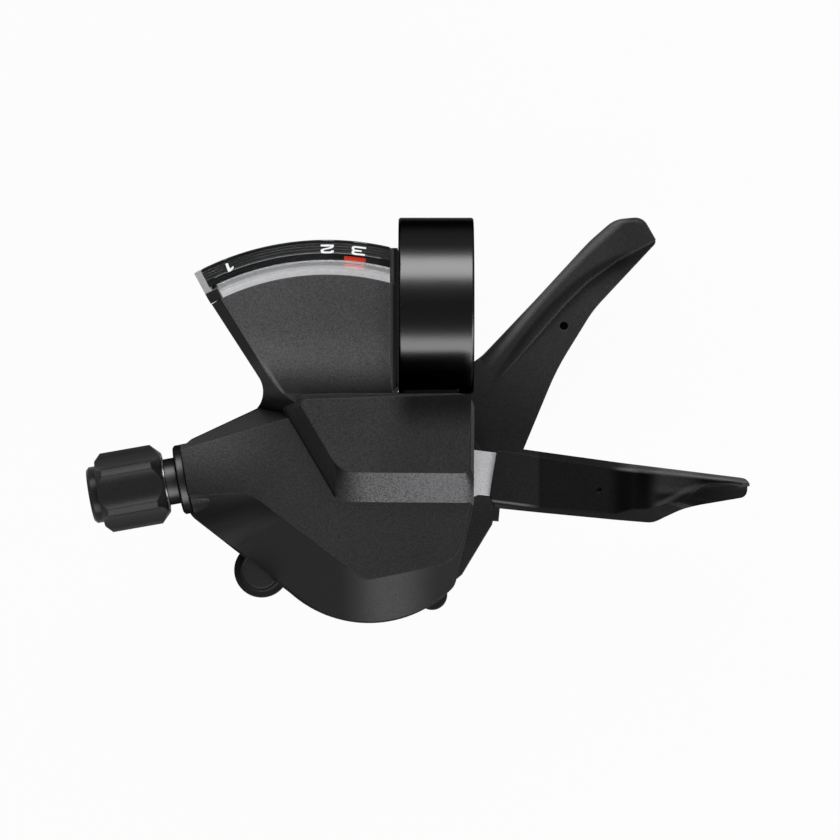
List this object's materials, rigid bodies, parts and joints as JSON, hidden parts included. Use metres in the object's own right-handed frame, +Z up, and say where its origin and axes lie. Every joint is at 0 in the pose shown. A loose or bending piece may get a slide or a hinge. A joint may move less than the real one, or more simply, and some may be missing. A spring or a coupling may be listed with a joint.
{
  "type": "trigger gear shifter",
  "caption": "Left-hand trigger gear shifter for a bicycle handlebar: clamp band, faceted cover with gear display, thumb lever, release lever and barrel adjuster.",
  "frame": {"origin": "centre of the handlebar clamp bore", "axes": "+X along the handlebar towards the grip, +Y back to the rider, +Z up through the display"},
  "size_m": [0.1035, 0.064, 0.0423],
  "materials": {
    "cover_plastic": "charcoal moulded plastic, fine grain",
    "base_plastic": "black moulded plastic",
    "lever_plastic": "black moulded plastic, satin",
    "knob_plastic": "black moulded plastic",
    "band_metal": "satin black coating",
    "black_steel": "blackened steel",
    "plated_steel": "zinc plated sheet steel",
    "turned_steel": "turned steel",
    "spring_steel": "drawn spring wire",
    "clear_lens": "clear moulded plastic",
    "scale_black": "black printed scale",
    "needle_orange": "orange-red pointer",
    "drum_plastic": "natural acetal",
    "insert_metal": "black threaded metal"
  },
  "bodies": {
    "housing": {"top_cover": "cover_plastic", "base_bracket": "base_plastic", "base_plate": "plated_steel", "main_axle": "turned_steel", "axle_clip": "black_steel", "axle_washer": "black_steel", "axle_nut": "black_steel", "thrust_sleeve": "turned_steel", "clamp_band": "band_metal", "clamp_bolt": "black_steel", "clamp_nut": "black_steel", "display_lens": "clear_lens", "scale_plate": "scale_black", "needle_pivot": "turned_steel", "drum_spring": "spring_steel", "hold_pawl_pin": "turned_steel", "hold_pawl_spring": "spring_steel", "lever_spring": "spring_steel", "release_spring": "spring_steel", "adjuster_insert": "insert_metal", "adjuster_spring": "spring_steel", "cover_screws": "black_steel", "cable_plug": "base_plastic"},
    "thumb_lever": {"main_lever": "lever_plastic", "lever_plate": "plated_steel", "lever_rivets": "plated_steel", "feed_pawl_pin": "turned_steel", "feed_pawl_spring": "spring_steel"},
    "feed": {"feed_pawl": "plated_steel"},
    "finger_lever": {"release_lever": "lever_plastic", "release_plate": "plated_steel", "release_rivets": "plated_steel"},
    "hold": {"hold_pawl": "plated_steel"},
    "drum": {"cable_drum": "drum_plastic", "ratchet_wheel": "plated_steel", "drum_pin": "turned_steel"},
    "pointer": {"needle": "needle_orange"},
    "adjuster_slider": {"adjuster_washer": "spring_steel"},
    "adjuster": {"adjuster_knob": "knob_plastic", "adjuster_barrel": "insert_metal"}
  },
  "joints": [
    {"name": "main_lever_swing", "type": "hinge", "parent": "housing", "child": "thumb_lever", "pos_m": [-0.0062, -0.0306, -0.0132], "axis": [0, 0, 1], "range_deg": [-35, 0], "stiffness_Nm_per_rad": 0.1, "springref_deg": 17.19, "deforming": ["lever_spring"]},
    {"name": "feed_pawl_rock", "type": "hinge", "parent": "thumb_lever", "child": "feed", "pos_m": [-0.01654, -0.03436, 0.0014], "axis": [0, 0, 1], "range_deg": [-12, 0]},
    {"name": "release_lever_swing", "type": "hinge", "parent": "housing", "child": "finger_lever", "pos_m": [-0.0062, -0.0306, -0.0028], "axis": [0, 0, 1], "range_deg": [0, 12], "stiffness_Nm_per_rad": 0.1, "springref_deg": -17.19, "deforming": ["release_spring"]},
    {"name": "hold_pawl_rock", "type": "hinge", "parent": "housing", "child": "hold", "pos_m": [-0.01251, -0.03961, 0.0014], "axis": [0, 0, 1], "range_deg": [-12, 0]},
    {"name": "drum_spin", "type": "hinge", "parent": "housing", "child": "drum", "pos_m": [-0.0062, -0.0306, 0.0045], "axis": [0, 0, 1], "range_deg": [0, 69], "deforming": ["drum_spring"]},
    {"name": "needle_swing", "type": "hinge", "parent": "housing", "child": "pointer", "pos_m": [-0.0167, -0.0329, 0.008], "axis": [0, 0, 1], "range_deg": [0, 27.6]},
    {"name": "adjuster_travel", "type": "slide", "parent": "housing", "child": "adjuster_slider", "axis": [-0.9848, -0.1736, 0], "range_m": [0, 0.004], "deforming": ["adjuster_spring"]},
    {"name": "adjuster_turn", "type": "hinge", "parent": "adjuster_slider", "child": "adjuster", "pos_m": [-0.04708, -0.02829, 0.0045], "axis": [-0.9848, -0.1736, 0], "range_deg": [0, 1440]}
  ],
  "couplings": [
    {"joint": "feed_pawl_rock", "follows": "main_lever_swing", "ratio": 0.34286},
    {"joint": "hold_pawl_rock", "follows": "release_lever_swing", "ratio": -1},
    {"joint": "needle_swing", "follows": "drum_spin", "ratio": 0.39817},
    {"joint": "adjuster_turn", "follows": "adjuster_travel", "rad_per_m": 6283.2}
  ]
}
